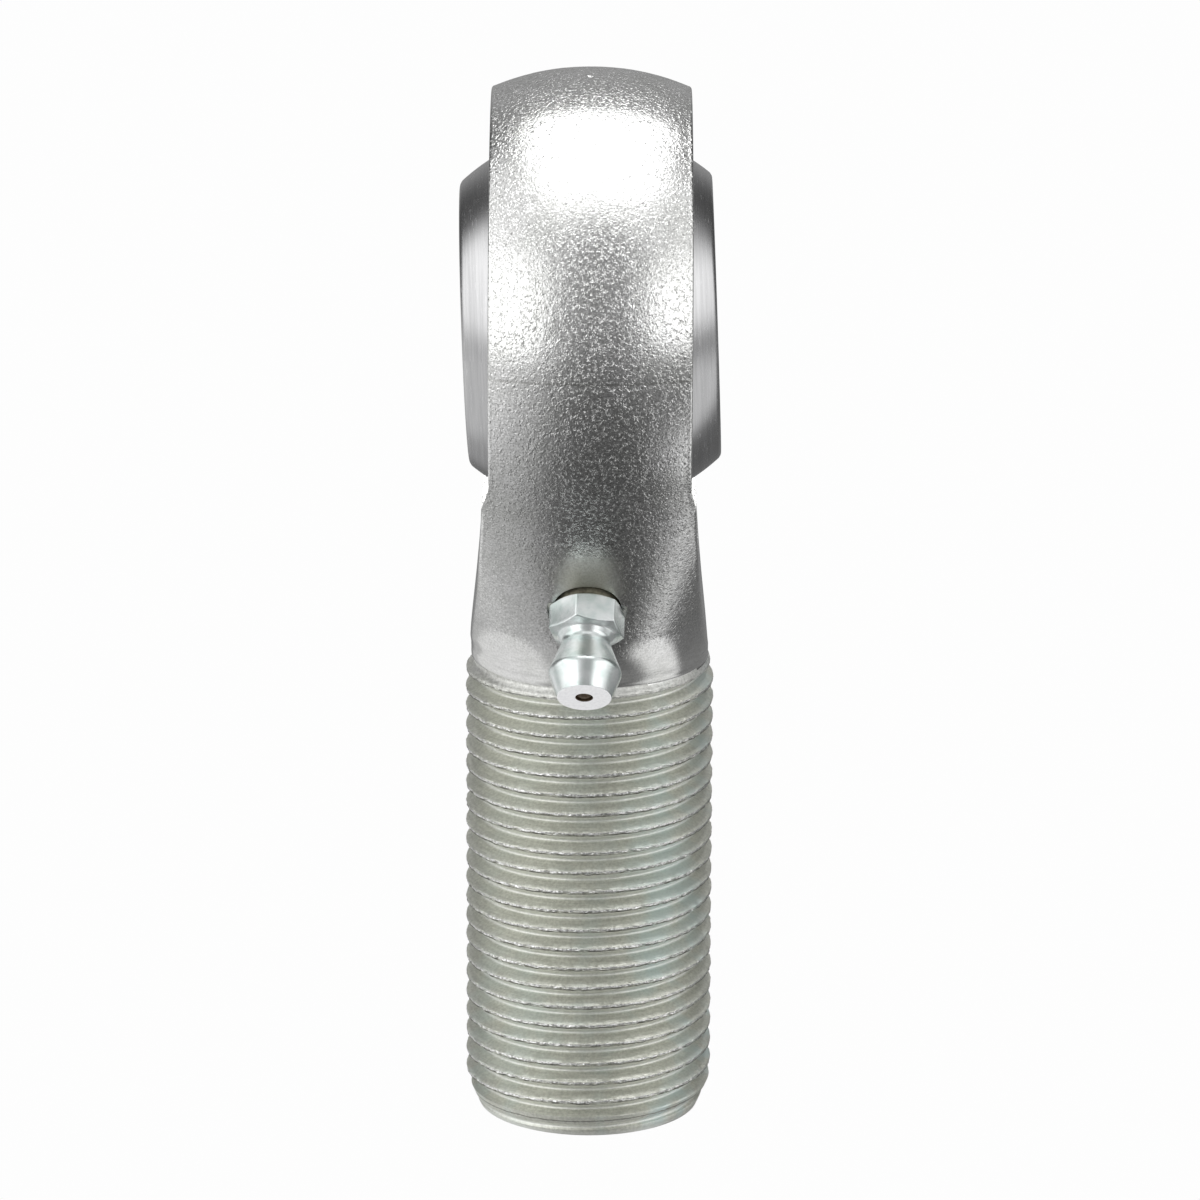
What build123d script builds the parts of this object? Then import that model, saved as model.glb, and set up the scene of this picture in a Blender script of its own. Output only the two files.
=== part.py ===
from build123d import *
import os
from math import sin, cos, tan, radians, sqrt

# Male spherical rod end (tie rod end) with a grease nipple.
# Frame: origin at the centre of the ball, +X along the eye, +Z up out of the
# crown of the eye, the threaded shank runs down -Z, the nipple is on -Y.
# All lengths are millimetres.

# ---- ball ----
BALL_DIA = 33.34
BALL_WIDTH = 22.225
BORE_DIA = 19.05
BORE_CHAMFER = 0.4
FACE_BREAK = 0.2
BALL_TILT_DEG = 2.2          # how far the ball stands tipped in the eye at rest

# ---- eye and neck ----
HEAD_R = 22.3                # crowned outside of the eye
HEAD_WIDTH = 17.6            # across the two machined faces
FACING_R = 20.5              # facing cut round the eye
FORGED_HALF = 9.15           # half width as forged, before the facing cut
NECK_TANGENT_DEG = 62.5      # where the neck leaves the crown, from straight down
NECK_BLEND_R = 8.0
SHANK_R = 10.6               # unthreaded shank
CENTRE_TO_END = 73.3

# ---- external thread, 7/8-14 right hand ----
THREAD_DIA = 22.225
THREAD_PITCH = 25.4 / 14
THREAD_DEPTH = 0.6134 * THREAD_PITCH
THREAD_TOP = 31.0            # thread starts this far below the ball centre
END_R = 9.95                 # shank end after its chamfer
END_CHAMFER_LEN = 2.8

# ---- bearing race, two halves staked in the eye ----
RACE_OD = 38.1
RACE_HALF_FACE = 8.6
RACE_GAP = 1.2               # grease gap between the halves
RACE_CLEARANCE = 0.09        # radial, ball to race
STAKE = 0.7                  # chamfer of the eye that the race lip is rolled into

# ---- grease ----
# the film shears in two layers, so its halves lie one outside the other
FILM_LEFT = (0.01, 0.04)
FILM_RIGHT = (0.05, 0.08)
FILM_FROM = 0.65
FILM_TO = 3.4

# ---- nipple, 45 degrees down and to the front ----
NIP_SIDE = 0.19               # the nipple sits a little to -X, and leans that way
NIP_LEAN = 0.027              # sideways per mm of its length
NIP_FRONT = 12.5
NIP_DOWN = 22.5
NIP_TOTAL = 9.25
HEX_AF = 5.95
HEX_H = 3.0
HEX_TURN = 15.0
NIP_SHANK_R = 3.0
NIP_SHANK_LEN = 5.0
NIP_TIP_R = 2.36
NIP_MAX_R = 3.24
NIP_NECK_R = 2.2
ORIFICE_R = 0.74
NIP_BORE_R = 1.3
LEDGE_R = 0.7
LEDGE_AT = 2.4
SPOTFACE_R = 3.55
SPOTFACE_AT = 0.3
HEX_FROM = 0.42              # the hexagon stands on a short collar
COLLAR_R = 2.68
PASSAGE_R = 1.5
CHECK_R = 1.2
SPRING_R = 0.85
SPRING_WIRE_R = 0.15
SPRING_TURNS = 6

os.makedirs("parts", exist_ok=True)

BALL_R = BALL_DIA / 2
HALF_B = BALL_WIDTH / 2
HALF_H = HEAD_WIDTH / 2


def turned(points, about, plane, arcs=None):
    """Revolve a closed outline; arcs maps a segment index to its mid point."""
    arcs = arcs or {}
    edges = []
    n = len(points)
    for i in range(n):
        a, b = points[i], points[(i + 1) % n]
        if i in arcs:
            edges.append(ThreePointArc(a, arcs[i], b))
        else:
            edges.append(Line(a, b))
    wire = Wire([e.edge() for e in edges])
    face = Face(wire)
    return revolve(plane * face, axis=about)


# Outlines for turned parts about X are drawn with x = axial, y = radius.
XY = Plane.XY
# Outlines for turned parts about Z are drawn with x = radius, y = height.
XZ = Plane(origin=(0, 0, 0), x_dir=(1, 0, 0), z_dir=(0, -1, 0))


def on_sphere(r, x):
    return sqrt(r * r - x * x)


# ---------------------------------------------------------------- rod body
t = radians(NECK_TANGENT_DEG)
pt = (HEAD_R * sin(t), -HEAD_R * cos(t))

turn = radians(90.0 - NECK_TANGENT_DEG)
dx, dz = -cos(t), -sin(t)
run = (pt[0] - SHANK_R) / cos(t)
corner = (SHANK_R, pt[1] + dz * run)
tl = NECK_BLEND_R * tan(turn / 2)
b0 = (corner[0] - dx * tl, corner[1] - dz * tl)
b1 = (SHANK_R, corner[1] - tl)
bc = (SHANK_R + NECK_BLEND_R, b1[1])
mid_a = turn / 2
bm = (bc[0] - NECK_BLEND_R * cos(mid_a), bc[1] + NECK_BLEND_R * sin(mid_a))
outline = [(0.0, HEAD_R), pt, b0, b1]
arcs = {0: (HEAD_R * sin(radians(61)), HEAD_R * cos(radians(61))), 2: bm}
crest_r = THREAD_DIA / 2
root_r = crest_r - THREAD_DEPTH
flank = THREAD_DEPTH * tan(radians(30))
crest_w = THREAD_PITCH / 8
root_w = THREAD_PITCH - crest_w - 2 * flank
z = -THREAD_TOP
lead = (crest_r - SHANK_R) * tan(radians(30))
outline.append((SHANK_R, z))
z -= lead
outline.append((crest_r, z))
end_limit = -(CENTRE_TO_END - END_CHAMFER_LEN * 0.5)
while True:
    nz = z - crest_w - 2 * flank - root_w
    if nz < end_limit:
        break
    z -= crest_w
    outline.append((crest_r, z))
    z -= flank
    outline.append((root_r, z))
    z -= root_w
    outline.append((root_r, z))
    z -= flank
    outline.append((crest_r, z))
outline += [(crest_r, -CENTRE_TO_END), (0.0, -CENTRE_TO_END)]
stem = turned(outline, Axis.Z, XZ, arcs)

# width of the forging seen along Y
spl = Spline((FORGED_HALF, -10.0), (9.45, -17.5), (9.93, -24.0), (10.5, -28.5), (12.2, -31.5),
             tangents=((0, -1), (0.6, -1)))
spr = Spline((-FORGED_HALF, -10.0), (-9.45, -17.5), (-9.93, -24.0), (-10.5, -28.5), (-12.2, -31.5),
             tangents=((0, -1), (-0.6, -1)))
w = Wire([spl.edge(),
          Line((12.2, -31.5), (12.2, -80.0)).edge(),
          Line((12.2, -80.0), (-12.2, -80.0)).edge(),
          Line((-12.2, -80.0), (-12.2, -31.5)).edge(),
          spr.edge(),
          Line((-FORGED_HALF, -10.0), (-FORGED_HALF, 30.0)).edge(),
          Line((-FORGED_HALF, 30.0), (FORGED_HALF, 30.0)).edge(),
          Line((FORGED_HALF, 30.0), (FORGED_HALF, -10.0)).edge()])
slab = extrude(XZ * Face(w), amount=40, both=True)
body = stem & slab

# end chamfer
ch = turned([(0, 5.0), (30.0, 5.0), (30.0, -CENTRE_TO_END + END_CHAMFER_LEN * 8),
             (END_R + (crest_r + 0.06 - END_R) * 8, -CENTRE_TO_END + END_CHAMFER_LEN * 8),
             (END_R, -CENTRE_TO_END), (0, -CENTRE_TO_END)], Axis.Z, XZ)
top_keep = Pos(0, 0, 30) * Box(80, 80, 60)
body = body & (ch + top_keep)

# facing cuts on both sides of the eye
for s in (1, -1):
    cut = Pos(s * (HALF_H + 5), 0, 0) * (Rot(0, 90, 0) * Cylinder(FACING_R, 10))
    body = body - cut

# eye bore with the staking chamfers
rr = RACE_OD / 2
eye = turned([(-HALF_H - 3, 0), (HALF_H + 3, 0), (HALF_H + 3, rr + STAKE), (HALF_H, rr + STAKE),
              (HALF_H - STAKE, rr), (-HALF_H + STAKE, rr), (-HALF_H, rr + STAKE),
              (-HALF_H - 3, rr + STAKE)], Axis.X, XY)
body = body - eye

# nipple seat: spotface, tapped hole and grease passage
lean = NIP_LEAN * sqrt(2)
nip = Plane(origin=(-NIP_SIDE, -NIP_FRONT, -NIP_DOWN), x_dir=(1, -lean / 2, -lean / 2), z_dir=(-lean, -1, -1))
loc = nip.location
spot = loc * (Pos(0, 0, SPOTFACE_AT + 4) * Cylinder(SPOTFACE_R, 8))
hole = loc * (Pos(0, 0, -NIP_SHANK_LEN / 2) * Cylinder(NIP_SHANK_R, NIP_SHANK_LEN))
passage = loc * (Pos(0, 0, -NIP_SHANK_LEN - 2) * Cylinder(PASSAGE_R, 4.4))
body = body - spot - hole - passage

# ---------------------------------------------------------------- races
ri = BALL_R + RACE_CLEARANCE
g = RACE_GAP / 2


def race(s):
    xm = (g + RACE_HALF_FACE) / 2
    pts = [(s * g, rr), (s * (HALF_H - STAKE), rr), (s * 8.7, rr + 0.6), (s * 8.7, rr + 0.2),
           (s * 8.0, rr - 0.6), (s * RACE_HALF_FACE, rr - 1.15),
           (s * RACE_HALF_FACE, on_sphere(ri, RACE_HALF_FACE)), (s * g, on_sphere(ri, g))]
    return turned(pts, Axis.X, XY, {6: (s * xm, on_sphere(ri, xm))})


race_r = race(1)
race_l = race(-1)

# ---------------------------------------------------------------- ball
fb = FACE_BREAK
xb = HALF_B - fb
br = BORE_DIA / 2
pts = [(-HALF_B + BORE_CHAMFER, br), (HALF_B - BORE_CHAMFER, br), (HALF_B, br + BORE_CHAMFER),
       (HALF_B, on_sphere(BALL_R, HALF_B) - 0.15), (xb, on_sphere(BALL_R, xb)),
       (-xb, on_sphere(BALL_R, xb)), (-HALF_B, on_sphere(BALL_R, HALF_B) - 0.15),
       (-HALF_B, br + BORE_CHAMFER)]
ball = turned(pts, Axis.X, XY, {4: (0, BALL_R)})
ball = Rot(0, -BALL_TILT_DEG, 0) * ball

# ---------------------------------------------------------------- grease


def film(s, layer):
    a, b = BALL_R + layer[0], BALL_R + layer[1]
    xm = (FILM_FROM + FILM_TO) / 2
    pts = [(s * FILM_FROM, on_sphere(a, FILM_FROM)), (s * FILM_FROM, on_sphere(b, FILM_FROM)),
           (s * FILM_TO, on_sphere(b, FILM_TO)), (s * FILM_TO, on_sphere(a, FILM_TO))]
    return turned(pts, Axis.X, XY, {1: (s * xm, on_sphere(b, xm)), 3: (s * xm, on_sphere(a, xm))})


film_r = film(1, FILM_RIGHT)
film_l = film(-1, FILM_LEFT)

gg = g - 0.02
ring_in = BALL_R + RACE_CLEARANCE + 0.02
ring = turned([(-gg, ring_in), (gg, ring_in), (gg, rr - 0.01), (-gg, rr - 0.01)], Axis.X, XY)
stub = loc * (Pos(0, 0, -NIP_SHANK_LEN - 0.05 - 1.6) * Cylinder(PASSAGE_R - 0.05, 3.2))
wall = Rot(0, 90, 0) * Cylinder(rr + 0.01, 60)
mid = Box(2 * gg, 80, 80)
stub = stub - (wall - mid)
grease = ring + stub
grease = grease - (Rot(0, 90, 0) * Cylinder(ring_in, 60))

# ---------------------------------------------------------------- nipple
outer = turned([(0, -NIP_SHANK_LEN), (NIP_SHANK_R - 0.35, -NIP_SHANK_LEN), (NIP_SHANK_R, -NIP_SHANK_LEN + 0.35),
                (NIP_SHANK_R, -0.35), (COLLAR_R, -0.35), (COLLAR_R, HEX_H), (2.55, HEX_H + 0.22), (NIP_NECK_R, HEX_H + 0.75),
                (NIP_NECK_R, HEX_H + 1.25), (2.95, NIP_TOTAL - 3.1), (NIP_MAX_R, NIP_TOTAL - 2.4),
                (NIP_TIP_R, NIP_TOTAL), (0, NIP_TOTAL)], Axis.Z, XZ)
hexa = extrude(RegularPolygon(HEX_AF / 2, 6, major_radius=False, rotation=45.0 + (HEX_TURN - 15.0)), amount=HEX_H + 0.3)
cone = turned([(0, HEX_FROM), (2.8, HEX_FROM), (3.6, HEX_FROM + 0.4), (3.6, HEX_H - 0.27), (2.6, HEX_H + 0.18),
               (0, HEX_H + 0.18)], Axis.Z, XZ)
outer = outer + (hexa & cone)
seat = NIP_TOTAL - 0.3
inner = turned([(0, -NIP_SHANK_LEN - 1), (LEDGE_R, -NIP_SHANK_LEN - 1), (LEDGE_R, LEDGE_AT), (NIP_BORE_R, LEDGE_AT),
                (NIP_BORE_R, seat - 0.55), (ORIFICE_R, seat), (ORIFICE_R, NIP_TOTAL + 1), (0, NIP_TOTAL + 1)],
               Axis.Z, XZ)
fitting = loc * (outer - inner)

ball_s = seat - sqrt(CHECK_R ** 2 - ORIFICE_R ** 2) - 0.05
check = loc * (Pos(0, 0, ball_s) * Sphere(CHECK_R))
s0 = LEDGE_AT + SPRING_WIRE_R + 0.03
s1 = ball_s - CHECK_R - SPRING_WIRE_R - 0.03
h = s1 - s0
helix = Helix(pitch=h / SPRING_TURNS, height=h, radius=SPRING_R)
prof = Plane(origin=helix @ 0, z_dir=helix % 0) * Circle(SPRING_WIRE_R)
spring = sweep(prof, path=helix, is_frenet=True)
spring = loc * (Pos(0, 0, s0) * spring)

# ---------------------------------------------------------------- write
nodes = {
    "rod_body": body,
    "race_half_left": race_l,
    "race_half_right": race_r,
    "ball": ball,
    "grease_film_left": film_l,
    "grease_film_right": film_r,
    "grease_charge": grease,
    "grease_fitting_body": fitting,
    "check_ball": check,
    "check_spring": spring,
}
for name, shape in nodes.items():
    solids = shape.solids()
    print(name, len(solids), [round(s.volume, 3) for s in solids])
    out = solids[0] if len(solids) == 1 else Compound(children=list(solids))
    out.label = name
    export_step(out, f"parts/{name}.step")
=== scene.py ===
import math
import bpy
import bmesh
import numpy as np
from mathutils import Vector, Matrix


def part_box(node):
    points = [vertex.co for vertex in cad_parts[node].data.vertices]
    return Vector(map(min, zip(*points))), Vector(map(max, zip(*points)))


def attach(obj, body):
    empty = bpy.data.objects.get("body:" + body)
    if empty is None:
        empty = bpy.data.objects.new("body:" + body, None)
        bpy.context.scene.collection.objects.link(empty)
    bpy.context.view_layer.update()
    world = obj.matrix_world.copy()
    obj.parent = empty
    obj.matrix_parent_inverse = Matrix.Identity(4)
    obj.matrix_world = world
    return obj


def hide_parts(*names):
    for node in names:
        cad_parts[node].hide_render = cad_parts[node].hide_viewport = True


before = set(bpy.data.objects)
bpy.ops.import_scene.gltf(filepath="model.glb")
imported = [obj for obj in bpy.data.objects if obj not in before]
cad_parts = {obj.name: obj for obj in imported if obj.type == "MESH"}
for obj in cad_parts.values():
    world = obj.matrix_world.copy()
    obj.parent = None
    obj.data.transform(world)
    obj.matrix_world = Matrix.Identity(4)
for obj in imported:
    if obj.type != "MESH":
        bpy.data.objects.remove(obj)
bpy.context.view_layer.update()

MM = 0.001
PI = math.pi

# ------------------------------------------------------------------ sizes, mm
body_lo, body_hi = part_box("rod_body")
HEAD_R = min(body_hi.z, body_hi.y) / MM    # crown of the eye
END_Z = body_lo.z / MM                     # end of the shank
HALF_W = 8.8                               # half the eye's width
RIM_R = math.sqrt(HEAD_R ** 2 - HALF_W ** 2)
FACING_R = 20.5
SHANK_R = 10.6
TANGENT = math.radians(62.5)
BLEND = 8.0
PITCH = 25.4 / 14
CREST_R = body_hi.x / MM - 0.004
ROOT_R = CREST_R - 0.6134 * PITCH
END_R = 9.95
CHAMFER = 2.8
VALLEY_Z = -32.98                          # a root of the thread at the -X side
RACE_R = 19.05
STAKE = 0.7
NIP = np.array([-0.19, -12.5, -22.5])
NIP_AX = np.array([-0.027 * math.sqrt(2), -1.0, -1.0])
NIP_AX /= np.linalg.norm(NIP_AX)
NIP_X = np.array([1.0, 0, 0]) - NIP_AX[0] * NIP_AX
NIP_X /= np.linalg.norm(NIP_X)
NIP_Y = np.cross(NIP_AX, NIP_X)
TILT = math.radians(2.2)
COLS = 480
N = COLS // 2


# ------------------------------------------------------------------ mesh tools
class Shell:
    """Collects grids of points and welds them into one mesh."""

    def __init__(self):
        self.pts = []
        self.quads = []
        self.count = 0

    def grid(self, p):
        p = np.asarray(p, float)
        r, c = p.shape[:2]
        idx = self.count + np.arange(r * c).reshape(r, c)
        self.pts.append(p.reshape(-1, 3))
        self.count += r * c
        q = np.stack([idx[:-1, :-1], idx[:-1, 1:], idx[1:, 1:], idx[1:, :-1]], -1).reshape(-1, 4)
        self.quads.append(q)

    def mesh(self, name, smooth_angle=35.0):
        p = np.concatenate(self.pts)
        q = np.concatenate(self.quads)
        key = np.round(p * 5000.0).astype(np.int64)
        uniq, first, inv = np.unique(key, axis=0, return_index=True, return_inverse=True)
        inv = inv.reshape(-1)
        v = p[first] * MM
        q = inv[q]
        faces = []
        for f in q.tolist():
            g = []
            for i in f:
                if not g or g[-1] != i:
                    g.append(i)
            if len(g) > 1 and g[0] == g[-1]:
                g.pop()
            if len(g) >= 3 and len(set(g)) == len(g):
                faces.append(g)
        me = bpy.data.meshes.new(name)
        me.from_pydata(v.tolist(), [], faces)
        tidy(me, smooth_angle)
        ob = bpy.data.objects.new(name, me)
        bpy.context.scene.collection.objects.link(ob)
        return ob


def tidy(me, smooth_angle=35.0):
    bm = bmesh.new()
    bm.from_mesh(me)
    loose = [v for v in bm.verts if not v.link_faces]
    if loose:
        bmesh.ops.delete(bm, geom=loose, context="VERTS")
    bmesh.ops.recalc_face_normals(bm, faces=bm.faces)
    bm.to_mesh(me)
    bm.free()
    me.shade_smooth()
    me.set_sharp_from_angle(angle=math.radians(smooth_angle))
    me.update()


def lathe(name, outline, segs, place=None, smooth_angle=35.0, closed=True):
    """outline is [(axial, radius)], turned about local +Z; place maps local mm to row mm."""
    o = np.array(outline, float)
    if closed:
        o = np.vstack([o, o[:1]])
    t = np.linspace(0, 2 * PI, segs + 1)
    t[-1] = 0.0
    x = o[:, 1][:, None] * np.cos(t)[None, :]
    y = o[:, 1][:, None] * np.sin(t)[None, :]
    z = np.repeat(o[:, 0][:, None], segs + 1, 1)
    p = np.stack([x, y, z], -1)
    if place is not None:
        p = place(p)
    s = Shell()
    s.grid(p)
    return s.mesh(name, smooth_angle)


def arc(cx, cy, r, a0, a1, n):
    """Points on an arc, degrees, as (axial, radius)."""
    a = np.radians(np.linspace(a0, a1, n))
    return [(cx + r * math.cos(i), cy + r * math.sin(i)) for i in a]


def along_x(tilt=0.0):
    c, s = math.cos(tilt), math.sin(tilt)

    def f(p):
        x, y, z = p[..., 2], p[..., 0], p[..., 1]
        return np.stack([x * c - z * s, y, x * s + z * c], -1)
    return f


def along_nipple():
    def f(p):
        return NIP + p[..., 0:1] * NIP_X + p[..., 1:2] * NIP_Y + p[..., 2:3] * NIP_AX
    return f


def boolean(ob, cutter, op):
    m = ob.modifiers.new("cut", "BOOLEAN")
    m.object = cutter
    m.operation = op
    try:
        m.solver = "MANIFOLD"
    except TypeError:
        m.solver = "EXACT"
    dg = bpy.context.evaluated_depsgraph_get()
    me = bpy.data.meshes.new_from_object(ob.evaluated_get(dg))
    ob.modifiers.clear()
    old = ob.data
    me.name = old.name
    ob.data = me
    bpy.data.meshes.remove(old)
    bpy.data.objects.remove(cutter)
    return ob


def ease(x, a, b):
    t = np.clip((np.asarray(x, float) - a) / (b - a), 0, 1)
    return t * t * (3 - 2 * t)


def smin(a, b, k):
    h = np.clip(0.5 + 0.5 * (b - a) / k, 0, 1)
    return b * (1 - h) + a * h - k * h * (1 - h)


def smax(a, b, k):
    return -smin(-a, -b, k)


# ------------------------------------------------------------------ rod body
PT = (HEAD_R * math.sin(TANGENT), HEAD_R * math.cos(TANGENT))
SLOPE = math.cos(TANGENT) / math.sin(TANGENT)
TURN = PI / 2 - TANGENT
CORNER_H = PT[1] + (PT[0] - SHANK_R) / SLOPE
TL = BLEND * math.tan(TURN / 2)
B0 = (SHANK_R + TL * math.cos(TANGENT), CORNER_H - TL * math.sin(TANGENT))
B1H = CORNER_H + TL


def crown(z):
    """Radius about Z of the turned envelope at height z."""
    h = -np.asarray(z, float)
    r = np.sqrt(np.maximum(HEAD_R ** 2 - h * h, 0))
    line = PT[0] - (h - PT[1]) * SLOPE
    bl = SHANK_R + BLEND - np.sqrt(np.maximum(BLEND ** 2 - (h - B1H) ** 2, 0))
    r = np.where(h > PT[1], line, r)
    r = np.where(h > B0[1], bl, r)
    r = np.where(h > B1H, SHANK_R, r)
    return r


SIDE_H = [8.0, 11.0, 13.0, 15.0, 16.6, 18.1, 19.8, 22.1, 23.3, 24.8, 26.3, 27.6, 29.0, 30.0, 33.0]
SIDE_A = [9.15, 9.17, 9.23, 9.31, 9.40, 9.49, 9.60, 9.76, 9.87, 10.02, 10.20, 10.36, 10.50, SHANK_R, SHANK_R]
_h = np.arange(6.0, 36.0, 0.02)
_a = np.interp(_h, SIDE_H, SIDE_A)
_k = np.hanning(101)
_a = np.convolve(np.pad(_a, 50, "edge"), _k / _k.sum(), "valid")


def side(z):
    """Half width of the forging along X at height z below the facing cut."""
    return np.interp(-np.asarray(z, float), _h, _a)


# where the facing circle meets the crown, at the faced and the forged width
def meets(a):
    lo, hi = 10.0, 20.0
    for _ in range(60):
        h = (lo + hi) / 2
        aa = a if a is not None else float(side(-h))
        r2 = float(crown(-h)) ** 2 - aa ** 2 + h * h
        if r2 > FACING_R ** 2:
            hi = h
        else:
            lo = h
    return math.acos(-h / FACING_R), h


AL0, H0 = meets(HALF_W)
AL1, H1 = meets(None)

KH, KN, KS, MS = 230, 96, 7, 20

EDGE = 0.24
al = np.linspace(0, AL0, KH + 1)
e_head = EDGE * (1 - ease(al, AL0 - 0.14, AL0))
r_c = np.where(al > AL0 - 0.16, RIM_R + (FACING_R - RIM_R) * ease(al, AL0 - 0.16, AL0), RIM_R)


def q3(x, y, z):
    return np.stack([x, y, z], -1)


# head rows: tangent point on the crown, corner, tangent point on the face
hx_t = HALF_W - e_head * 0.85
hz_t = np.sqrt(HEAD_R ** 2 - hx_t ** 2) * np.cos(al)
hy_t = np.sqrt(np.maximum(crown(hz_t) ** 2 - hx_t ** 2, 0))
hy_t[0] = 0.0
T_h = q3(hx_t, hy_t, hz_t)
hz_c = r_c * np.cos(al)
hy_c = np.sqrt(np.maximum(crown(hz_c) ** 2 - HALF_W ** 2, 0))
hy_c = np.where(al > AL0 - 0.2, hy_c, r_c * np.sin(al))
C_h = q3(np.full_like(al, HALF_W), hy_c, hz_c)
rs = r_c - e_head
S_h = q3(np.full_like(al, HALF_W), rs * np.sin(al), rs * np.cos(al))
T_h[-1] = S_h[-1] = C_h[-1] = (HALF_W, FACING_R * math.sin(AL0), FACING_R * math.cos(AL0))

# neck rows
s = np.linspace(0, 1, KN + 1)
zn = -(H1 + (B1H - H1) * (1 - (1 - s) ** 1.35))
zn[-1] = -B1H
an = side(zn)
bn = crown(zn)
yc = np.sqrt(np.maximum(bn ** 2 - an ** 2, 0))
yc[-1] = 0.0
gap = np.minimum(np.abs(-zn - H1) * 0.6, 1.0)
e_n = np.minimum(0.32 + 0.9 * ease(-zn, 17, 27), gap)
e_n = np.minimum(e_n, 0.8 * yc)
C_n = q3(an, yc, zn)
ph_t = np.arccos(np.clip(an / bn, -1, 1)) + e_n / bn
T_n = q3(bn * np.cos(ph_t), bn * np.sin(ph_t), zn)
S_n = q3(an, yc - e_n, zn)
T_n[0] = S_n[0] = C_n[0] = (float(an[0]), FACING_R * math.sin(AL1), FACING_R * math.cos(AL1))
T_n[-1] = S_n[-1] = C_n[-1] = (SHANK_R, 0.0, -B1H)


def strip_rows():
    u = np.linspace(0, 1, N + 1)
    rows = []
    for k in range(KH + 1):
        x0 = T_h[k, 0]
        lam = math.asin(min(1, x0 / HEAD_R))
        x = HEAD_R * np.sin(lam * (1 - 2 * u))
        rt = math.sqrt(HEAD_R ** 2 - x0 ** 2)
        z = T_h[k, 2] + (np.sqrt(HEAD_R ** 2 - x * x) - rt) * math.cos(al[k])
        y = np.sqrt(np.maximum(crown(z) ** 2 - x * x, 0))
        if k == 0:
            y[:] = 0
        row = q3(x, y, z)
        row[0] = T_h[k]
        row[-1] = T_h[k] * (-1, 1, 1)
        rows.append(row)
    for k in range(KN + 1):
        w = float(ease(k, 0, 40))
        x0 = T_n[k, 0]
        lam = math.asin(min(1, x0 / HEAD_R))
        xl = HEAD_R * np.sin(lam * (1 - 2 * u))
        rt = math.sqrt(HEAD_R ** 2 - x0 ** 2)
        zl = T_n[k, 2] + (np.sqrt(HEAD_R ** 2 - xl * xl) - rt) * math.cos(AL1) * (1 - w)
        b = bn[k]
        f = math.atan2(T_n[k, 1], T_n[k, 0])
        th = f + (PI - 2 * f) * u
        xn = b * np.cos(th) * (x0 / (b * math.cos(f)) if abs(math.cos(f)) > 1e-9 else 1)
        x = xl * (1 - w) + xn * w
        z = zl
        y = np.sqrt(np.maximum(crown(z) ** 2 - x * x, 0))
        row = q3(x, y, z)
        row[0] = T_n[k]
        row[-1] = T_n[k] * (-1, 1, 1)
        rows.append(row)
    th = PI * u
    for z in np.linspace(-B1H, -30.2, KS)[1:]:
        rows.append(q3(SHANK_R * np.cos(th), SHANK_R * np.sin(th), np.full_like(u, z)))
    return np.array(rows)


def bez(a, b, c, n):
    t = np.linspace(0, 1, n)[None, :, None]
    return a[:, None] * (1 - t) ** 2 + 2 * b[:, None] * t * (1 - t) + c[:, None] * t * t


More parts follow.
